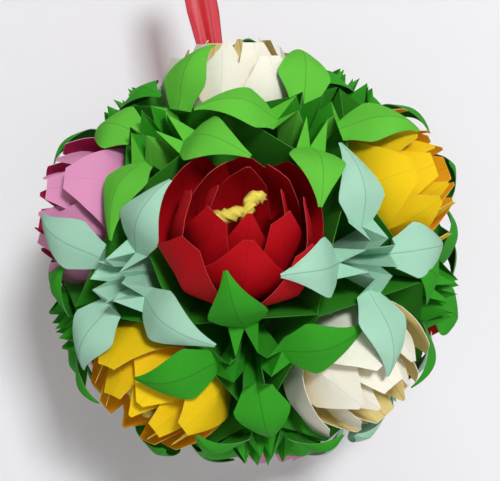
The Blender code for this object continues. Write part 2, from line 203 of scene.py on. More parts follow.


# %% Paper group: dye, fibres and painted shade at folds
def dyed_paper_group():
    """Colour, height and roughness of paper: uneven dye, short fibres, and painted shade as a darker line at
    a fold.
    """
    group, given, result = new_group(
        "dyed_paper", "ShaderNodeTree",
        [("Color", "NodeSocketColor", RED), ("Uneven", "NodeSocketFloat", 0.08),
         ("Fibre", "NodeSocketFloat", 0.05), ("Fold Width", "NodeSocketFloat", 0.0004),
         ("Fold Tone", "NodeSocketFloat", -0.35)],
        [("Color", "NodeSocketColor"), ("Height", "NodeSocketFloat"), ("Roughness", "NodeSocketFloat")])
    link = group.links.new
    place = add_node(group, "ShaderNodeTexCoord").outputs["Object"]
    dye = add_node(group, "ShaderNodeTexNoise", values={"Scale": 38.0, "Detail": 3.0})
    fibre = add_node(group, "ShaderNodeTexNoise", values={"Scale": 900.0, "Detail": 4.0, "Distortion": 1.2})
    link(place, dye.inputs["Vector"])
    link(place, fibre.inputs["Vector"])
    fold = add_node(group, "ShaderNodeAttribute", {"attribute_name": "fold"})
    near = add_node(group, "ShaderNodeMapRange", {"clamp": True},
                    {"From Min": 0.0, "To Min": 1.0, "To Max": 0.0})
    link(fold.outputs["Fac"], near.inputs["Value"])
    link(given.outputs["Fold Width"], near.inputs["From Max"])
    # Painted shade: near a fold the colour is darkened, by the amount given for the fold
    value = maths(group, "MULTIPLY", near.outputs["Result"], given.outputs["Fold Tone"])
    for noise, amount in ((dye, "Uneven"), (fibre, "Fibre")):
        centred = maths(group, "SUBTRACT", noise.outputs["Fac"], 0.5)
        value = maths(group, "ADD", value, maths(group, "MULTIPLY", centred, given.outputs[amount]))
    tone = add_node(group, "ShaderNodeHueSaturation")
    link(given.outputs["Color"], tone.inputs["Color"])
    link(maths(group, "ADD", value, 1.0), tone.inputs["Value"])
    link(tone.outputs["Color"], result.inputs["Color"])
    link(maths(group, "SUBTRACT", fibre.outputs["Fac"], near.outputs["Result"]), result.inputs["Height"])
    rough = add_node(group, "ShaderNodeMapRange", values={"To Min": 0.62, "To Max": 0.82})
    link(dye.outputs["Fac"], rough.inputs["Value"])
    link(rough.outputs["Result"], result.inputs["Roughness"])
    return group


dyed_paper = dyed_paper_group()


# %% Paper materials
# The last value sets how dark the painted shade along a fold is
def paper(name, color, uneven=0.10, fibre=0.10, fold_shade=-0.40):
    """Matt folding paper in one colour."""
    material = bpy.data.materials.new(name)
    material.use_nodes = True
    tree = material.node_tree
    shader = tree.nodes["Principled BSDF"]
    shader.inputs["Specular IOR Level"].default_value = 0.12
    made = add_node(tree, "ShaderNodeGroup", {"node_tree": dyed_paper},
                    {"Color": color, "Uneven": uneven, "Fibre": fibre, "Fold Tone": fold_shade})
    bump = add_node(tree, "ShaderNodeBump", values={"Strength": 0.25, "Distance": 0.00025})
    tree.links.new(made.outputs["Color"], shader.inputs["Base Color"])
    tree.links.new(made.outputs["Roughness"], shader.inputs["Roughness"])
    tree.links.new(made.outputs["Height"], bump.inputs["Height"])
    tree.links.new(bump.outputs["Normal"], shader.inputs["Normal"])
    return material


# The outside and the inside of each paper, where the red's darker inside is painted shade; a lily's
# leaves show their inside
papers = {
    "green": (paper("green_paper", GREEN), paper("green_paper_back", GREEN_BACK)),
    # Painted light: the same green paper, lighter on the side that is seen, for light from above
    "spring": (paper("spring_paper_outside", GREEN_BACK), paper("spring_paper", LIT_GREEN)),
    "mint": (paper("mint_paper", MINT, fold_shade=-0.22), paper("mint_paper_back", MINT)),
    "calyx": (paper("calyx_paper", CALYX), paper("calyx_paper_inside", CALYX)),
    "red": (paper("red_paper", RED, fold_shade=-0.15),
            paper("red_paper_inside", RED_INSIDE_SHADE, fold_shade=-0.15)),
    "yellow": (paper("yellow_paper", YELLOW, fold_shade=-0.12),
               paper("yellow_paper_inside", YELLOW_INSIDE, fold_shade=-0.12)),
    "cream": (paper("cream_paper", CREAM, fold_shade=-0.12), paper("cream_paper_inside", CREAM_INSIDE)),
    "pink": (paper("pink_paper", PINK, fold_shade=-0.12),
             paper("pink_paper_inside", PINK_INSIDE, fold_shade=-0.12))}


def cut_edge(name, color, pale):
    """Cut edge of a paper, where its pale core shows."""
    mixed = tuple(part + (1.0 - part) * pale for part in color[:3])
    return paper(name, (*mixed, 1.0), fold_shade=0.0)


# Colour of each paper, and how far its cut edge is paler
CUT_EDGES = {"green": (GREEN, 0.12), "spring": (LIT_GREEN, 0.12), "mint": (MINT, 0.25),
             "calyx": (CALYX, 0.02), "red": (RED, 0.06), "yellow": (YELLOW, 0.2), "cream": (CREAM, 0.1),
             "pink": (PINK, 0.3)}
edges = {name: cut_edge(f"{name}_edge", color, pale) for name, (color, pale) in CUT_EDGES.items()}
print(f"{len(papers)} papers, each with two sides and a cut edge")

# %% [markdown]
# Two Geometry Nodes trees turn a drawn sheet into a finished piece. The first repeats the sheet round the
# piece's own axis, because every piece here is the same fold made four or five times, and lifts each
# copy's tip by its own amount. The second warps the paper a little, as fingers do, and gives it its
# thickness, with one material on each side and one on the cut edge.

# %% Geometry Nodes: repeat round the axis
MOST_COPIES = 5
COPIES_WELD = 0.00002


def round_axis_tree():
    """Copies of the sheet round Z; the attribute named share says how far a tip follows its lift."""
    tree, given, result = new_group(
        "round_the_axis", "GeometryNodeTree",
        [("Sheet", "NodeSocketGeometry", None), ("Count", "NodeSocketInt", 4)]
        + [(f"Lift {index + 1}", "NodeSocketFloat", 0.0) for index in range(MOST_COPIES)],
        [("Sheet", "NodeSocketGeometry")])
    link = tree.links.new
    spots = add_node(tree, "GeometryNodeMeshLine")
    spots.inputs["Offset"].default_value = (0, 0, 0)
    link(given.outputs["Count"], spots.inputs["Count"])
    index = add_node(tree, "GeometryNodeInputIndex").outputs[0]
    step = maths(tree, "DIVIDE", 2 * math.pi, given.outputs["Count"])
    turn = add_node(tree, "ShaderNodeCombineXYZ")
    link(maths(tree, "MULTIPLY", step, index), turn.inputs["Z"])
    copies = add_node(tree, "GeometryNodeInstanceOnPoints")
    link(spots.outputs["Mesh"], copies.inputs["Points"])
    link(given.outputs["Sheet"], copies.inputs["Instance"])
    link(turn.outputs[0], copies.inputs["Rotation"])
    number = add_node(tree, "GeometryNodeStoreNamedAttribute", {"domain": "INSTANCE", "data_type": "INT"},
                      {"Name": "copy"})
    link(copies.outputs["Instances"], number.inputs["Geometry"])
    link(index, number.inputs["Value"])
    real = add_node(tree, "GeometryNodeRealizeInstances")
    link(number.outputs["Geometry"], real.inputs["Geometry"])
    which = add_node(tree, "GeometryNodeInputNamedAttribute", {"data_type": "INT"}, {"Name": "copy"})
    lifts = add_node(tree, "GeometryNodeIndexSwitch", {"data_type": "FLOAT"})
    while len(lifts.index_switch_items) < MOST_COPIES:
        lifts.index_switch_items.new()
    link(which.outputs["Attribute"], lifts.inputs["Index"])
    for item in range(MOST_COPIES):
        link(given.outputs[f"Lift {item + 1}"], lifts.inputs[item + 1])
    share = add_node(tree, "GeometryNodeInputNamedAttribute", {"data_type": "FLOAT"}, {"Name": "share"})
    offset = add_node(tree, "ShaderNodeCombineXYZ")
    link(maths(tree, "MULTIPLY", lifts.outputs[0], share.outputs["Attribute"]), offset.inputs["Z"])
    moved = add_node(tree, "GeometryNodeSetPosition")
    link(real.outputs["Geometry"], moved.inputs["Geometry"])
    link(offset.outputs[0], moved.inputs["Offset"])
    welded = add_node(tree, "GeometryNodeMergeByDistance", values={"Distance": COPIES_WELD})
    link(moved.outputs["Geometry"], welded.inputs["Geometry"])
    link(welded.outputs["Geometry"], result.inputs["Sheet"])
    return tree


round_axis = round_axis_tree()


# %% Geometry Nodes: paper with a thickness
SIDES_WELD = 0.00001


def paper_sheet_tree():
    """Warps the sheet, thickens it and gives each side and the cut edge its material."""
    tree, given, result = new_group(
        "paper_sheet", "GeometryNodeTree",
        [("Sheet", "NodeSocketGeometry", None), ("Thickness", "NodeSocketFloat", 0.0003),
         ("Warp", "NodeSocketFloat", 0.0), ("Seed", "NodeSocketFloat", 0.0),
         ("Outside", "NodeSocketMaterial", None), ("Inside", "NodeSocketMaterial", None),
         ("Edge", "NodeSocketMaterial", None)],
        [("Paper", "NodeSocketGeometry")])
    link = tree.links.new
    noise = add_node(tree, "ShaderNodeTexNoise", {"noise_dimensions": "4D"}, {"Scale": 42.0, "Detail": 1.0})
    link(given.outputs["Seed"], noise.inputs["W"])
    centred = add_node(tree, "ShaderNodeVectorMath", {"operation": "SUBTRACT"})
    centred.inputs[1].default_value = (0.5, 0.5, 0.5)
    link(noise.outputs["Color"], centred.inputs[0])
    loose = add_node(tree, "GeometryNodeInputNamedAttribute", {"data_type": "FLOAT"}, {"Name": "loose"})
    push = add_node(tree, "ShaderNodeVectorMath", {"operation": "SCALE"})
    link(centred.outputs["Vector"], push.inputs[0])
    link(maths(tree, "MULTIPLY", given.outputs["Warp"], loose.outputs["Attribute"]), push.inputs["Scale"])
    warped = add_node(tree, "GeometryNodeSetPosition")
    link(given.outputs["Sheet"], warped.inputs["Geometry"])
    link(push.outputs["Vector"], warped.inputs["Offset"])
    thick = add_node(tree, "GeometryNodeExtrudeMesh", {"mode": "FACES"}, {"Individual": False})
    link(warped.outputs["Geometry"], thick.inputs["Mesh"])
    link(given.outputs["Thickness"], thick.inputs["Offset Scale"])
    under = add_node(tree, "GeometryNodeFlipFaces")
    link(warped.outputs["Geometry"], under.inputs["Mesh"])
    both = add_node(tree, "GeometryNodeJoinGeometry")
    link(under.outputs["Mesh"], both.inputs["Geometry"])
    link(thick.outputs["Mesh"], both.inputs["Geometry"])
    welded = add_node(tree, "GeometryNodeMergeByDistance", values={"Distance": SIDES_WELD})
    link(both.outputs["Geometry"], welded.inputs["Geometry"])
    real = add_node(tree, "GeometryNodeRealizeInstances")
    link(welded.outputs["Geometry"], real.inputs["Geometry"])
    last = real.outputs["Geometry"]
    for material, where in (("Inside", None), ("Outside", "Top"), ("Edge", "Side")):
        paint = add_node(tree, "GeometryNodeSetMaterial")
        link(last, paint.inputs["Geometry"])
        link(given.outputs[material], paint.inputs["Material"])
        if where:
            link(thick.outputs[where], paint.inputs["Selection"])
        last = paint.outputs["Geometry"]
    link(last, result.inputs["Paper"])
    return tree


paper_sheet = paper_sheet_tree()

# %% [markdown]
# A sheet is drawn as rows of points. Three values go with each point: share, how far it follows its
# tip's lift; loose, how far the paper may warp there; and fold, its distance from the nearest fold, which
# the material reads to paint shade along the crease and to sink it a little in the bump.


# %% From drawn rows to a finished piece
class Sheet:
    """A drawn sheet: points, faces and the three values that go with each point."""

    def __init__(self):
        self.points = []
        self.faces = []
        self.values = {"share": [], "loose": [], "fold": []}

    def point(self, place, share=0.0, loose=0.0, fold=1.0):
        """Adds a point with its three values, and gives its number."""
        self.points.append(tuple(place))
        for name, value in (("share", share), ("loose", loose), ("fold", fold)):
            self.values[name].append(value)
        return len(self.points) - 1

    def strip(self, lower, upper):
        """Adds the faces between two rows of points."""
        for i in range(len(lower) - 1):
            self.faces.append((lower[i], lower[i + 1], upper[i + 1], upper[i]))

    def mesh(self, name):
        """The drawn sheet as a mesh that carries the three values."""
        made = bpy.data.meshes.new(name)
        made.from_pydata(self.points, [], self.faces)
        for key, values in self.values.items():
            made.attributes.new(key, "FLOAT", "POINT").data.foreach_set("value", values)
        return made


def set_inputs(modifier, values):
    """Sets a tree's inputs by their labels, through the sockets' identifiers."""
    for item in modifier.node_group.interface.items_tree:
        if item.in_out == "INPUT" and item.name in values:
            modifier[item.identifier] = values[item.name]


SHARP_FOLD = math.radians(26)         # an edge that bends by more is shaded as a fold


def folded(name, sheet, seat, colour, thickness, warp, count=4, lifts=(), seed=0.0):
    """Finished paper piece: the sheet repeated round its axis, thickened, painted and carried to its seat."""
    bench = new_object(name + "_bench", sheet.mesh(name))
    around = bench.modifiers.new("around", "NODES")
    around.node_group = round_axis
    set_inputs(around, {"Count": count, **{f"Lift {index + 1}": lift for index, lift in enumerate(lifts)}})
    body = bench.modifiers.new("paper", "NODES")
    body.node_group = paper_sheet
    set_inputs(body, {"Thickness": thickness, "Warp": warp, "Seed": seed, "Outside": papers[colour][0],
                      "Inside": papers[colour][1], "Edge": edges[colour]})
    bpy.context.view_layer.update()
    graph = bpy.context.evaluated_depsgraph_get()
    mesh = bpy.data.meshes.new_from_object(bench.evaluated_get(graph))
    bpy.data.objects.remove(bench, do_unlink=True)
    mesh.name = name
    mesh.transform(seat)
    mesh.shade_smooth()
    mesh.set_sharp_from_angle(angle=SHARP_FOLD)
    return new_object(name, mesh)


# %% [markdown]
# A flower is four bowls, one inside the other, glued at the base. Each bowl's rim is cut into four
# petals, and every second bowl is turned by an eighth. The outer and third bowls end in a broad straight
# edge, and the second and fourth in a narrow one. One petal of each bowl is drawn, and the tree repeats it.

# %% The petals of the four bowls
def between(table, at):
    """Value at a point of a table of pairs, straight from one pair to the next."""
    return float(np.interp(at, [pair[0] for pair in table], [pair[1] for pair in table]))


# Radius and height of five points on each bowl's side view, from the outermost bowl to the innermost.
# The petals part at the split.
BASE = ((0.0128, 0.0000), (0.0104, 0.0011), (0.0080, 0.0021), (0.0056, 0.0031))
BELLY = ((0.0250, 0.0102), (0.0208, 0.0108), (0.0166, 0.0116), (0.0124, 0.0124))
SPLIT = ((0.0360, 0.0261), (0.0306, 0.0261), (0.0252, 0.0273), (0.0198, 0.0285))
SHOULDER = ((0.0366, 0.0420), (0.0300, 0.0415), (0.0244, 0.0450), (0.0188, 0.0480))
TIP = ((0.0336, 0.0540), (0.0240, 0.0580), (0.0192, 0.0610), (0.0132, 0.0630))
# Half of a petal's width at its shoulder and at its tip, for the same four bowls
SHOULDER_HALF = (0.0150, 0.0170, 0.0132, 0.0100)
TIP_HALF = (0.0056, 0.0022, 0.0060, 0.0010)
FLATTENED = 0.55                      # how much flatter than the round bowl a petal is at its tip
COLUMNS = (-1.0, -0.75, -0.5, -0.25, 0.0, 0.25, 0.5, 0.75, 1.0)      # across a petal or a leaf
ROWS_PER_PART = 4
EIGHTH_TURN = math.pi / 4


def smooth_path(points, steps):
    """Points along a smooth curve through the given ones, with that many steps between two of them."""
    padded = [points[0], *points, points[-1]]
    path = []
    for a, b, c, d in zip(padded, padded[1:], padded[2:], padded[3:]):
        for step in range(steps):
            t = step / steps
            path.append(tuple(0.5 * (2 * q + (r - p) * t + (2 * p - 5 * q + 4 * r - s) * t ** 2
                                     + (3 * q - p - 3 * r + s) * t ** 3)
                              for p, q, r, s in zip(a, b, c, d)))
    path.append(tuple(points[-1]))
    return path


def petal_half(layer, height, radius):
    """Half width of a petal at a height: full below the split, then straight to the shoulder and the tip."""
    full = radius * math.sin(EIGHTH_TURN)
    if height <= SPLIT[layer][1]:
        return full
    outline = ((SPLIT[layer][1], SPLIT[layer][0] * math.sin(EIGHTH_TURN)),
               (SHOULDER[layer][1], SHOULDER_HALF[layer]), (TIP[layer][1], TIP_HALF[layer]))
    return between(outline, height)


def add_petal(sheet, layer):
    """One petal of a bowl: flat on each side of its middle fold, and bowed along its length."""
    outline = [BASE[layer], BELLY[layer], SPLIT[layer], SHOULDER[layer], TIP[layer]]
    middle = EIGHTH_TURN * (layer % 2)
    rows = []
    for radius, height in smooth_path(outline, ROWS_PER_PART):
        half = petal_half(layer, height, radius)
        spread = math.asin(min(1.0, half / radius))
        loose = max(0.0, (height - SPLIT[layer][1]) / (TIP[layer][1] - SPLIT[layer][1]))
        ridge = Vector((radius, 0, 0))
        side = Vector((radius * math.cos(spread), radius * math.sin(spread), 0))
        drawn = []
        for column in COLUMNS:
            folded_at = ridge.lerp(side, abs(column))
            across = math.copysign(folded_at.y, column)
            out = folded_at.x + (radius - folded_at.x) * FLATTENED * loose
            place = Vector((out, across, height))
            drawn.append(sheet.point(Matrix.Rotation(middle, 3, "Z") @ place, 0.0, loose, abs(across)))
        rows.append(drawn)
    for lower, upper in zip(rows, rows[1:]):
        sheet.strip(lower, upper)


def flower_sheet():
    """One petal of each of the four bowls."""
    sheet = Sheet()
    for layer in range(len(SPLIT)):
        add_petal(sheet, layer)
    return sheet


# %% [markdown]
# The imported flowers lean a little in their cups. The middle of a flower's corners lies on its axis, and so
# does the middle weighted by distance, so the two together give the way that it leans. Its lowest eight
# corners are the base, and its highest ones are the innermost petals, which say how it is turned.

# %% Where the flowers stand
BASE_CORNERS = 8
TOP_CORNERS = 24


def flower_place(name):
    """Seat of a flower, from its base, its axis and the turn of its innermost petals."""
    points = corners(name)
    middle = points.mean(axis=0)
    weight = ((points - middle) ** 2).sum(axis=1)
    second = (points * weight[:, None]).sum(axis=0) / weight.sum()
    axis = Vector(second - middle).normalized()
    if axis.dot(Vector(middle) - CENTRE) < 0:
        axis.negate()
    order = np.argsort(points @ np.array(axis))
    base = Vector(points[order[:BASE_CORNERS]].mean(axis=0))
    tops = bench_points(points[order[-TOP_CORNERS:]], seat_at(base, axis))
    turn = np.angle(np.exp(4j * np.arctan2(tops[:, 1], tops[:, 0])).sum()) / 4
    return seat_at(base, axis, turn - EIGHTH_TURN)


# %% [markdown]
# Glued paper gives way a little. The front flower has sunk over in its cup, so that it looks up and to the
# right and shows the outside of its lower petals, and it is a little larger than the others. The five
# flowers round it look away from it.

# %% How the flowers lean
LEAN_PIVOT = 0.0330
FRONT_LEAN = math.radians(23)
FRONT_HEADING = math.radians(69)
FRONT_PUSH = (-0.0015, -0.0045)
FRONT_GROWTH = 1.05
NEIGHBOUR_LEAN = math.radians(9)


def leaned(seat, towards, lean):
    """The seat after its flower has leaned about its middle, towards a direction."""
    axis = seat.col[2].to_3d()
    pivot = seat @ Vector((0, 0, LEAN_PIVOT))
    return (Matrix.Translation(pivot) @ Matrix.Rotation(lean, 4, axis.cross(towards).normalized())
            @ Matrix.Translation(-pivot) @ seat)


flower_seats = [flower_place(name) for name in flower_names]
front = seat_at(CENTRE, cup_axes[0]).to_3x3()
heading = Vector((math.cos(FRONT_HEADING), math.sin(FRONT_HEADING), 0))
flower_seats[0] = (Matrix.Translation(front @ Vector((*FRONT_PUSH, 0)))
                   @ leaned(flower_seats[0], front @ heading, FRONT_LEAN) @ Matrix.Scale(FRONT_GROWTH, 4))
for number, axis in enumerate(cup_axes):
    if 0 < axis.angle(cup_axes[0]) < NEAR:
        flower_seats[number] = leaned(flower_seats[number], axis - cup_axes[0], NEIGHBOUR_LEAN)

# %% Folding the flowers
PETAL_PAPER = 0.00025
PETAL_WARP = 0.0026
FIRST_FLOWER_SEED = 40.0
FLOWER_SEED_STEP = 2.3

for index, (name, seat) in enumerate(zip(flower_names, flower_seats)):
    colour = name.split("_")[-1]
    piece = folded("paper_" + name, flower_sheet(), seat, colour, PETAL_PAPER, PETAL_WARP,
                   seed=FIRST_FLOWER_SEED + index * FLOWER_SEED_STEP)
    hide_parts(name)
    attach(piece, "root")
print(f"{len(flower_seats)} flowers of four bowls")

# %% [markdown]
# A lily is one square folded into a funnel. Its rim turns out into four pointed leaves that arch over the
# cups, and between two leaves the paper stands up as a pleat with a valley down its back. One quarter is
# drawn here: a leaf, half of the pleat on each side of it, and the part of the funnel below them. A leaf
# is creased down its middle, and its edges roll down towards the tip. The leaves that face the viewer
# are longer than those at the sides and the back, and droop further.

# %% The lily's sizes
LEAVES = 4
FUNNEL_DEPTH = 0.0380
FUNNEL_TIP = 0.0026
MOUTH_HALF = 0.0150
PLEAT_RISE = 0.0125
PLEAT_ALONG = 0.0088
PLEAT_ACROSS = 0.0052
VALLEY_REACH = 0.0062
VALLEY_RISE = 0.0050
FOLD_REACH = 0.0176
LEAF_REACH = 0.0555
LEAF_RISE = 0.0075
LEAF_DROOP = 0.0100
SIDE_LEAF_REACH = 0.0505
SIDE_LEAF_DROOP = 0.0070
LEAF_CREASE = 0.16
CREASE_STEEPNESS = 5                  # the crease is full from a fifth of the leaf's length on
MOUTH_BLEND = 8                       # the funnel's straight mouth fades out within an eighth of it
LEAST_ROLL = 0.001
# Half of the leaf's width, and how far its edges roll, at shares of its length
LEAF_OUTLINE = ((0.0, 0.0072), (0.15, 0.0108), (0.28, 0.0137), (0.36, 0.0135), (0.50, 0.0110),
                (0.66, 0.0076), (0.82, 0.0043), (0.93, 0.0022), (1.0, 0.0010))
LEAF_ROLL = ((0.0, 0.0), (0.3, 0.05), (0.6, 0.35), (1.0, 0.80))
LEAF_ROWS = 18


def leaf_point(share, column, shape, lift=0.0):
    """A point of a leaf along +X: share of its length, and column from one edge, -1, to the other, 1."""
    tip_reach, droop = shape
    half = between(LEAF_OUTLINE, share)
    roll = between(LEAF_ROLL, share) + LEAST_ROLL
    turned = roll * abs(column)
    across = math.copysign(half * math.sin(turned) / roll, column)
    crease = LEAF_CREASE * min(1.0, CREASE_STEEPNESS * share) * abs(across)
    drop = half * (1 - math.cos(turned)) / roll + crease
    inset = max(0.0, 1 - MOUTH_BLEND * share) * (FOLD_REACH - MOUTH_HALF) * (1 - abs(column))
    reach = FOLD_REACH + (tip_reach - FOLD_REACH) * share - inset
    height = LEAF_RISE * 4 * share * (1 - share) - droop * share ** 2 - drop + lift * share
    return Vector((reach, across, height))


def lily_sheet(shape):
    """One quarter of a lily, with its leaf along +X."""
    sheet = Sheet()
    rows = []
    for row in range(LEAF_ROWS + 1):
        share = row / LEAF_ROWS
        half = between(LEAF_OUTLINE, share)
        rows.append([sheet.point(leaf_point(share, column, shape), share, share, abs(column) * half)
                     for column in COLUMNS])
    for lower, upper in zip(rows, rows[1:]):
        sheet.strip(lower, upper)
    middle = len(COLUMNS) // 2
    eighth = Matrix.Rotation(math.pi / LEAVES, 3, "Z")
    bottom = Vector((FUNNEL_TIP, 0, -FUNNEL_DEPTH))
    left = sheet.point((PLEAT_ALONG, PLEAT_ACROSS, PLEAT_RISE))
    right = sheet.point((PLEAT_ALONG, -PLEAT_ACROSS, PLEAT_RISE))
    next_right = sheet.point((PLEAT_ACROSS, PLEAT_ALONG, PLEAT_RISE))
    tip = sheet.point(bottom)
    pleat_left = sheet.point(eighth @ bottom)
    pleat_right = sheet.point(eighth.transposed() @ bottom)
    valley = sheet.point(eighth @ Vector((VALLEY_REACH, 0, VALLEY_RISE)))
    sheet.faces += [(left, *reversed(rows[0][middle:])), (*rows[0][middle::-1], right)]
    sheet.faces += [(tip, rows[0][middle], left, pleat_left), (pleat_right, right, rows[0][middle], tip),
                    (pleat_left, left, valley), (pleat_left, valley, next_right)]
    return sheet


# %% [markdown]
# A leaf passes over the flower beside it, so its tip is lifted until the leaf lies clear of that flower's
# outline. The lilies sit where the imported ones do. Most of those at the sides and the back are turned a
# little further about their own stem, so that their leaves lie as they are seen in the photograph, or
# close a gap between two cups. Two lilies above the front flower get a lighter green, which is painted
# light from above on their leaves.

# %% Seats of the lilies and lifts of their leaves
# Degrees that each lily is turned further, by its number
LILY_TURNS = {2: 2, 5: -2, 6: -20, 7: -25, 8: 35, 9: 5, 10: 2, 11: 20, 12: -15, 15: 15, 16: 35, 17: 15,
              18: 40, 19: 40, 20: -30}
RAISED_LEAVES = {(1, 1): 0.0085}      # lily and leaf, and how much higher that tip stands
# Lilies whose green is lightened as painted light from above
LIT_LILIES = (1, 3)
LEAF_CLEARANCE = 0.0010
PETAL_FLAT = 0.97                     # a petal is flatter than the circle through its middle and edges
CHECKED_SHARES = (0.2, 0.4, 0.6, 0.8, 1.0)
CHECKED_COLUMNS = (-1.0, 0.0, 1.0)
rim_reach = max(np.linalg.norm(corners(cup_names[0]) - np.array(CENTRE), axis=1))
lily_axes = [(a + b + c).normalized() for a, b, c in combinations(cup_axes, 3)
             if max(a.angle(b), b.angle(c), a.angle(c)) < NEAR]
corner_angle = lily_axes[0].angle(min(((a + b).normalized() for a, b in combinations(cup_axes, 2)),
                                      key=lily_axes[0].angle))
lily_plane = rim_reach * math.cos(corner_angle)


def lily_place(number, name):
    """Seat of a lily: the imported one's leaves say how it is turned."""
    points = corners(name)
    axis = min(lily_axes, key=(Vector(points.mean(axis=0)) - CENTRE).angle)
    local = bench_points(points, seat_at(CENTRE + axis * lily_plane, axis))
    first = local[np.hypot(local[:, 0], local[:, 1]).argmax()]
    spin = math.atan2(first[1], first[0]) % (math.pi / 2) + math.radians(LILY_TURNS.get(number, 0))
    return seat_at(CENTRE + axis * lily_plane, axis, spin)


def inside_flower(point, seat):
    """Whether a point lies within a flower's outside, grown by the clearance."""
    local = seat.inverted() @ point
    profile = [(SHOULDER[0][1], SHOULDER[0][0])] + [(height, radius) for radius, height in TIP]
    radius = math.hypot(local.x, local.y) - LEAF_CLEARANCE
    height = local.z - LEAF_CLEARANCE
    return 0.0 < height <= profile[-1][0] and radius < PETAL_FLAT * between(profile, height)


def leaf_lifts(number, seat, shape):
    """How far each of a lily's four tips is lifted."""
    lifts = []
    for leaf in range(LEAVES):
        turn = Matrix.Rotation(leaf * 2 * math.pi / LEAVES, 4, "Z")
        lift = 0.0
        for share in CHECKED_SHARES:
            for column in CHECKED_COLUMNS:
                while any(inside_flower(seat @ turn @ leaf_point(share, column, shape, lift), flower)
                          for flower in flower_seats):
                    lift += LEAF_CLEARANCE
        lifts.append(lift + RAISED_LEAVES.get((number, leaf), 0.0))
    return lifts


# %% The twenty lilies
LILY_PAPER = 0.0003
LILY_WARP = 0.0022
LILY_SEED_STEP = 3.7

for number, name in enumerate(lily_names, 1):
    colour = name.split("_")[-1]
    seat = lily_place(number, name)
    facing = seat.col[2].to_3d().angle(cup_axes[0]) < NEIGHBOUR_ANGLE
    shape = (LEAF_REACH, LEAF_DROOP) if facing else (SIDE_LEAF_REACH, SIDE_LEAF_DROOP)
    lifts = leaf_lifts(number, seat, shape)
    # Painted light: these lilies take the lightened green, the others their own paper colour
    dyed_or_lit = "spring" if number in LIT_LILIES else colour
    piece = folded("paper_" + name, lily_sheet(shape), seat, dyed_or_lit, LILY_PAPER, LILY_WARP, lifts=lifts,
                   seed=number * LILY_SEED_STEP)
    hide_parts(name)
    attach(piece, "root")
    print(f"{name}: tips lifted {', '.join(f'{lift * 1000:.1f}' for lift in lifts)} mm")

# %% [markdown]
# A cup is folded from green paper into an open five-cornered bowl. Its walls run straight towards the
# middle of the ball, so that two neighbouring cups stand corner to corner all the way down. Each wall
# has a shallow valley fold down its middle, which keeps it stiff. One fifth is drawn: a wall and its
# slice of the floor.

# %% The twelve cups
CUP_SIDES = 5
CUP_SHARES = (0.0, 0.25, 0.5, 0.75, 1.0)
CUP_COLUMNS = (-1.0, -0.5, 0.0, 0.5, 1.0)
CUP_VALLEY = 0.0006
CUP_INSET = 0.0005
CUP_PAPER = 0.0003


def cup_sheet(floor, rim, depth):
    """One wall of a cup round +X, with its slice of the floor."""
    sheet = Sheet()
    half_angle = math.pi / CUP_SIDES
    rows = []
    for share in CUP_SHARES:
        corner = floor + (rim - floor) * share - CUP_INSET
        valley = CUP_VALLEY * max(0.0, 2 * share - 1)
        drawn = []
        for column in CUP_COLUMNS:
            x = corner * math.cos(half_angle) - valley * (1 - abs(column))
            y = column * corner * math.sin(half_angle)
            drawn.append(sheet.point((x, y, depth * share), fold=abs(y)))
        rows.append(drawn)
    for lower, upper in zip(rows, rows[1:]):
        sheet.strip(lower, upper)
    middle = sheet.point((0, 0, 0))
    sheet.faces += [(middle, b, a) for a, b in zip(rows[0], rows[0][1:])]
    return sheet


def cup_place(name, axis):
    """Seat of a cup's floor, its floor and rim radius and its depth."""
    local = bench_points(corners(name), seat_at(CENTRE, axis))
    out = np.hypot(local[:, 0], local[:, 1])
    low, high = local[:, 2].min(), local[:, 2].max()
    rim_corner = local[out.argmax()]
    at_floor = out[local[:, 2] < low + 0.0001].max()
    spin = math.atan2(rim_corner[1], rim_corner[0]) + math.pi / CUP_SIDES
    return seat_at(CENTRE + axis * low, axis, spin), at_floor, out.max(), high - low


for name, axis in zip(cup_names, cup_axes):
    seat, at_floor, at_rim, depth = cup_place(name, axis)
    piece = folded("paper_" + name, cup_sheet(at_floor, at_rim, depth), seat, "calyx", CUP_PAPER, 0.0,
                   count=CUP_SIDES)
    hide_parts(name)
    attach(piece, "root")
print(f"{len(cup_names)} cups, rim radius {at_rim * 1000:.1f} mm")

# %% [markdown]
# Each stamen is a stem of twisted crepe paper with two twisted ends that bend over. The twist shows as
# ridges that wind round it, so a strip is drawn as a star-shaped section that turns along its path.

# %% The crepe paper
CREPE_SIDES = 15
CREPE_RIDGES = 5
RIDGE_DEPTH = 0.28
CRUMPLE_DEPTH = 0.10
CRUMPLE_STEP = 1.7
CREPE_STEPS = 8
crepe = paper("crepe_paper", CREPE, uneven=0.35, fibre=0.2, fold_shade=0.0)


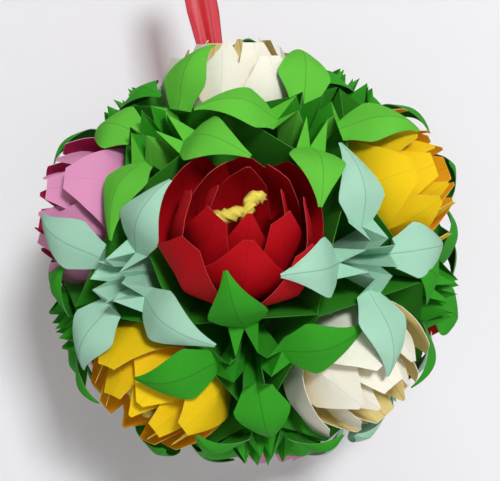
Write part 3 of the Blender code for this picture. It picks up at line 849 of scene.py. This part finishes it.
def twisted_strip(name, route, radii, seat, turns):
    """Twisted strip along a route, with ridges that wind round it and are crumpled a little."""
    path = [Vector(point) for point in smooth_path(route, CREPE_STEPS)]
    widths = [pair[0] for pair in smooth_path([(radius,) for radius in radii], CREPE_STEPS)]
    points = []
    faces = []
    for row, (place, width) in enumerate(zip(path, widths)):
        ahead = (path[min(row + 1, len(path) - 1)] - path[max(row - 1, 0)]).normalized()
        side = ahead.orthogonal().normalized() if row == 0 else (side - ahead * side.dot(ahead)).normalized()
        other = ahead.cross(side)
        twist = turns * 2 * math.pi * row / (len(path) - 1)
        for i in range(CREPE_SIDES):
            angle = 2 * math.pi * i / CREPE_SIDES
            ridge = 1 + RIDGE_DEPTH * math.cos(CREPE_RIDGES * angle)
            ridge += CRUMPLE_DEPTH * math.sin(3 * angle + row * CRUMPLE_STEP)
            way = math.cos(angle + twist) * side + math.sin(angle + twist) * other
            points.append(place + width * ridge * way)
    for row in range(len(path) - 1):
        for i in range(CREPE_SIDES):
            j = (i + 1) % CREPE_SIDES
            a, b = row * CREPE_SIDES, (row + 1) * CREPE_SIDES
            faces.append((a + i, a + j, b + j, b + i))
    last = (len(path) - 1) * CREPE_SIDES
    faces += [tuple(range(CREPE_SIDES))[::-1], tuple(range(last, last + CREPE_SIDES))]
    mesh = bpy.data.meshes.new(name)
    mesh.from_pydata([tuple(point) for point in points], [], faces)
    mesh.materials.append(crepe)
    mesh.transform(seat)
    mesh.shade_smooth()
    return new_object(name, mesh)


# %% The twelve stamens
STAMEN_FOOT = 0.0045
STAMEN_HEAD = 0.0490
STEM_RADII = (0.0018, 0.0019, 0.0024)
STEM_TWISTS = 3.0
LOBE_RADII = (0.0018, 0.0024, 0.0027, 0.0024, 0.0012)
LOBE_TWISTS = 1.4
LOBE_ARCH = 0.0012
# Length of each of the two ends, and the way that it points
LOBES = ((0.0150, math.radians(245)), (0.0125, math.radians(100)))


def lobe_route(length, turn):
    """Route of a twisted end that leaves the head of the stem, arches and bends down."""
    ahead = Vector((math.cos(turn), math.sin(turn), 0))
    aside = Vector((-ahead.y, ahead.x, 0))
    return [Vector((0, 0, STAMEN_HEAD - 0.006)), Vector((0, 0, STAMEN_HEAD)) + 0.18 * length * ahead,
            Vector((0, 0, STAMEN_HEAD + LOBE_ARCH)) + 0.55 * length * ahead + 0.10 * length * aside,
            Vector((0, 0, STAMEN_HEAD)) + 0.90 * length * ahead - 0.04 * length * aside,
            Vector((0, 0, STAMEN_HEAD - LOBE_ARCH)) + 1.05 * length * ahead]


for name, seat in zip(stamen_names, flower_seats):
    stem_route = [(0, 0, STAMEN_FOOT), (0.0005, 0, 0.025), (0, 0, STAMEN_HEAD)]
    stem = twisted_strip("crepe_" + name, stem_route, STEM_RADII, seat, STEM_TWISTS)
    ends = [twisted_strip(f"crepe_end_{turn:.0f}_" + name, lobe_route(length, turn), LOBE_RADII, seat,
                          LOBE_TWISTS)
            for length, turn in LOBES]
    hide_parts(name)
    for piece in (stem, *ends):
        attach(piece, "root")
print(f"{len(stamen_names)} stamens")

# %% [markdown]
# The ribbon is sheer organza: one strip that goes over the hook and comes down as two strands, which lie
# partly over each other and are gathered into a cord where they go down between two cups. The weave is
# so open that the wall shows through. It looks deeper where two layers overlap, and its woven edges,
# which stop it from fraying, show as dark lines.

# %% The organza
SELVEDGE = screen(138, 4, 26)
SEEN_THROUGH = screen(242, 130, 150)


def organza_material():
    """Sheer woven cloth: threads over open gaps, closer together at the two woven edges."""
    material = bpy.data.materials.new("organza")
    material.use_nodes = True
    tree = material.node_tree
    link = tree.links.new
    shader = tree.nodes["Principled BSDF"]
    shader.inputs["Roughness"].default_value = 0.42
    shader.inputs["Sheen Weight"].default_value = 0.10
    across = add_node(tree, "ShaderNodeAttribute", {"attribute_name": "across"}).outputs["Fac"]
    edge = add_node(tree, "ShaderNodeMapRange", {"interpolation_type": "SMOOTHSTEP"},
                    {"From Min": 0.86, "From Max": 0.97})
    link(across, edge.inputs["Value"])
    place = add_node(tree, "ShaderNodeTexCoord").outputs["Object"]
    stretch = add_node(tree, "ShaderNodeMapping")
    stretch.inputs["Scale"].default_value = (1.0, 1.0, 0.04)
    threads = add_node(tree, "ShaderNodeTexNoise", values={"Scale": 700.0, "Detail": 2.0})
    link(place, stretch.inputs["Vector"])
    link(stretch.outputs["Vector"], threads.inputs["Vector"])
    body = add_node(tree, "ShaderNodeMapRange",
                    values={"From Min": 0.3, "From Max": 0.7, "To Min": 0.70, "To Max": 0.94})
    link(threads.outputs["Fac"], body.inputs["Value"])
    cover = maths(tree, "MAXIMUM", body.outputs["Result"], edge.outputs["Result"])
    tone = add_node(tree, "ShaderNodeMix", {"data_type": "RGBA"})
    tone.inputs["A"].default_value = ORGANZA
    tone.inputs["B"].default_value = SELVEDGE
    link(edge.outputs["Result"], tone.inputs["Factor"])
    link(tone.outputs["Result"], shader.inputs["Base Color"])
    gaps = add_node(tree, "ShaderNodeBsdfTransparent")
    gaps.inputs["Color"].default_value = SEEN_THROUGH
    mix = add_node(tree, "ShaderNodeMixShader")
    link(cover, mix.inputs["Fac"])
    link(gaps.outputs["BSDF"], mix.inputs[1])
    link(shader.outputs["BSDF"], mix.inputs[2])
    link(mix.outputs["Shader"], tree.nodes["Material Output"].inputs["Surface"])
    return material


organza = organza_material()

# %% The ribbon
# Heights are counted from the top of the loop, which is at 0
BALL_HANGS = -CENTRE.z
RIBBON_WIDTH = 0.0180
RIBBON_WAIST = 0.0120
STRAND_SHARE = 0.68
LOOP_RADIUS = 0.0071
FLARE_LENGTH = 0.0600
LOOP_LENGTH = 0.0960
TAIL_TOP = -0.1010
TAIL_END = 0.078 - BALL_HANGS
TAIL_BEND = 0.092 - BALL_HANGS
CORD_HALF = 0.0016
CORD_SPREAD = 1.4                     # how much wider the gathered strip is at its top than at its end
ROUTE_STEPS = 5
RIBBON_COLUMNS = 32
RIBBON_FOLDS = 5.0
FOLD_SHIFT = 0.6
FLAT_FOLD = 0.0002
GATHERED_FOLD = 0.0012
DEEPEST_FOLD = 0.35                   # as a share of half the strip's width
STRANDS_MEET = -0.030                 # from here up to the hook the strands draw together


def ribbon_route():
    """Middle line of the strip, seen from the side: up the front strand, over the hook and down the back."""
    front = [(-0.0008, TAIL_END), (-0.0008, TAIL_BEND), (-0.0010, TAIL_TOP), (-0.0013, -LOOP_LENGTH),
             (-0.0022, -0.082), (-0.0038, -FLARE_LENGTH), (-LOOP_RADIUS, -0.026),
             (-LOOP_RADIUS, -LOOP_RADIUS - 0.001)]
    turns = [math.radians(angle) for angle in range(20, 161, 20)]
    over = [(-LOOP_RADIUS * math.cos(turn), LOOP_RADIUS * (math.sin(turn) - 1)) for turn in turns]
    return front + over + [(-y, z) for y, z in reversed(front)]


def ribbon_half(height):
    """Half of the width that the two strands take together at a height."""
    widths = ((TAIL_END, CORD_HALF), (TAIL_TOP, CORD_HALF * CORD_SPREAD), (-LOOP_LENGTH, RIBBON_WAIST / 2),
              (-FLARE_LENGTH, RIBBON_WIDTH / 2), (0.0, RIBBON_WIDTH / 2))
    return between(widths, height)


def ribbon_piece():
    """The strip of organza, with lengthwise folds that deepen towards the gather."""
    route = [Vector((0, y, z)) for y, z in smooth_path(ribbon_route(), ROUTE_STEPS)]
    sheet = Sheet()
    across_values = []
    rows = []
    for index, place in enumerate(route):
        both = ribbon_half(place.z)
        half = STRAND_SHARE * both
        parted = between(((STRANDS_MEET, 1.0), (0.0, 0.0)), place.z)
        aside = (both - half) * parted * (-1 if place.y < 0 else 1)
        gathered = 1 - both / (RIBBON_WIDTH / 2)
        ahead = (route[min(index + 1, len(route) - 1)] - route[max(index - 1, 0)]).normalized()
        out = ahead.cross(Vector((1, 0, 0))).normalized()
        depth = min(FLAT_FOLD + GATHERED_FOLD * gathered, DEEPEST_FOLD * half)
        drawn = []
        for column in range(RIBBON_COLUMNS + 1):
            across = 2 * column / RIBBON_COLUMNS - 1
            wave = math.sin(across * RIBBON_FOLDS + FOLD_SHIFT) * depth
            drawn.append(sheet.point(place + Vector((across * half + aside, 0, 0)) + out * wave))
            across_values.append(abs(across))
        rows.append(drawn)
    for lower, upper in zip(rows, rows[1:]):
        sheet.strip(lower, upper)
    mesh = sheet.mesh("ribbon_organza")
    mesh.attributes.new("across", "FLOAT", "POINT").data.foreach_set("value", across_values)
    mesh.materials.append(organza)
    mesh.shade_smooth()
    piece = new_object("ribbon_organza", mesh)
    length = sum((b - a).length for a, b in zip(route, route[1:]))
    return piece, length


ribbon, ribbon_length = ribbon_piece()
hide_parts("ribbon")
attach(ribbon, "root")
print(f"ribbon {ribbon_length:.3f} m, covers {sum(face.area for face in ribbon.data.polygons) * 1e4:.1f} cm2")

# %% [markdown]
# The ball hangs in front of a pale wall. The wall is seen only from its front and lets the lamps' light
# through, so that a view from behind is neither blocked nor dark, and a pale floor lies well below. The
# key lamp stands far off at the front right, a little above the ball, so that the shadow falls on the
# wall at the left. A lamp above and one behind light the rest, a weak warm world fills the shadows, and
# where nothing else stands the background looks as pale as the wall.

# %% The wall and the floor
STAGE_WIDTH = 6.0
WALL_BEHIND = 0.121
FLOOR_BELOW = 0.30


def seen_rays(tree):
    """One for rays that look at the background: straight, in a reflection or through something clear."""
    rays = add_node(tree, "ShaderNodeLightPath")
    total = rays.outputs["Is Camera Ray"]
    for kind in ("Is Glossy Ray", "Is Transmission Ray"):
        total = maths(tree, "MAXIMUM", total, rays.outputs[kind])
    return total


def stage_material(name, color, one_sided):
    """Matt surface that is clear from behind, if it is one-sided."""
    material = bpy.data.materials.new(name)
    material.use_nodes = True
    tree = material.node_tree
    shader = tree.nodes["Principled BSDF"]
    shader.inputs["Base Color"].default_value = color
    shader.inputs["Roughness"].default_value = 0.9
    shader.inputs["Specular IOR Level"].default_value = 0.1
    if one_sided:
        behind = add_node(tree, "ShaderNodeNewGeometry").outputs["Backfacing"]
        unseen = maths(tree, "SUBTRACT", 1.0, seen_rays(tree), clamp=True)
        clear = add_node(tree, "ShaderNodeBsdfTransparent")
        mix = add_node(tree, "ShaderNodeMixShader")
        tree.links.new(maths(tree, "MAXIMUM", behind, unseen), mix.inputs["Fac"])
        tree.links.new(shader.outputs["BSDF"], mix.inputs[1])
        tree.links.new(clear.outputs["BSDF"], mix.inputs[2])
        tree.links.new(mix.outputs["Shader"], tree.nodes["Material Output"].inputs["Surface"])
    return material


def stage_plane(name, place, facing, material):
    """Square plane of the stage that faces a direction."""
    mesh = bpy.data.meshes.new(name)
    half = STAGE_WIDTH / 2
    corner_points = [(-half, -half, 0), (half, -half, 0), (half, half, 0), (-half, half, 0)]
    mesh.from_pydata(corner_points, [], [(0, 1, 2, 3)])
    mesh.materials.append(material)
    plane = new_object(name, mesh)
    plane.matrix_world = Matrix.Translation(place) @ facing.to_track_quat("Z", "Y").to_matrix().to_4x4()


stage_plane("wall", CENTRE + Vector((0, WALL_BEHIND, 0)), Vector((0, -1, 0)),
            stage_material("wall", WALL, one_sided=True))
stage_plane("floor", CENTRE - UP * FLOOR_BELOW, UP, stage_material("floor", WALL, one_sided=False))

# %% The lamps and the world
# Name, place from the ball's middle, width, power and colour of each lamp
LAMPS = (("key", (0.70, -2.35, 0.22), 0.42, 40.0, (0.98, 0.99, 1.0)),
         ("top", (0.25, -0.75, 1.20), 0.60, 2.8, (1.0, 0.99, 0.98)),
         ("back", (-0.25, 1.60, 0.70), 0.80, 22.0, (1.0, 0.99, 0.97)))
WORLD_COLOUR = (1.0, 0.94, 0.84, 1.0)
WORLD_STRENGTH = 0.15
BACKGROUND_STRENGTH = 0.95


def area_lamp(name, place, width, power, color):
    """Soft square lamp that shines at the ball."""
    data = bpy.data.lights.new(name, "AREA")
    data.size = width
    data.energy = power
    data.color = color
    lamp = new_object(name, data)
    lamp.matrix_world = (Matrix.Translation(CENTRE + place)
                         @ place.to_track_quat("Z", "Y").to_matrix().to_4x4())


for name, place, width, power, color in LAMPS:
    area_lamp(name, Vector(place), width, power, color)
world = bpy.data.worlds.new("room")
world.use_nodes = True
room = world.node_tree
lit = room.nodes["Background"]
lit.inputs["Color"].default_value = WORLD_COLOUR
lit.inputs["Strength"].default_value = WORLD_STRENGTH
pale = add_node(room, "ShaderNodeBackground", values={"Color": WALL, "Strength": BACKGROUND_STRENGTH})
choice = add_node(room, "ShaderNodeMixShader")
room.links.new(seen_rays(room), choice.inputs["Fac"])
room.links.new(lit.outputs["Background"], choice.inputs[1])
room.links.new(pale.outputs["Background"], choice.inputs[2])
room.links.new(choice.outputs["Shader"], room.nodes["World Output"].inputs["Surface"])
bpy.context.scene.world = world
print(f"{len(LAMPS)} lamps")
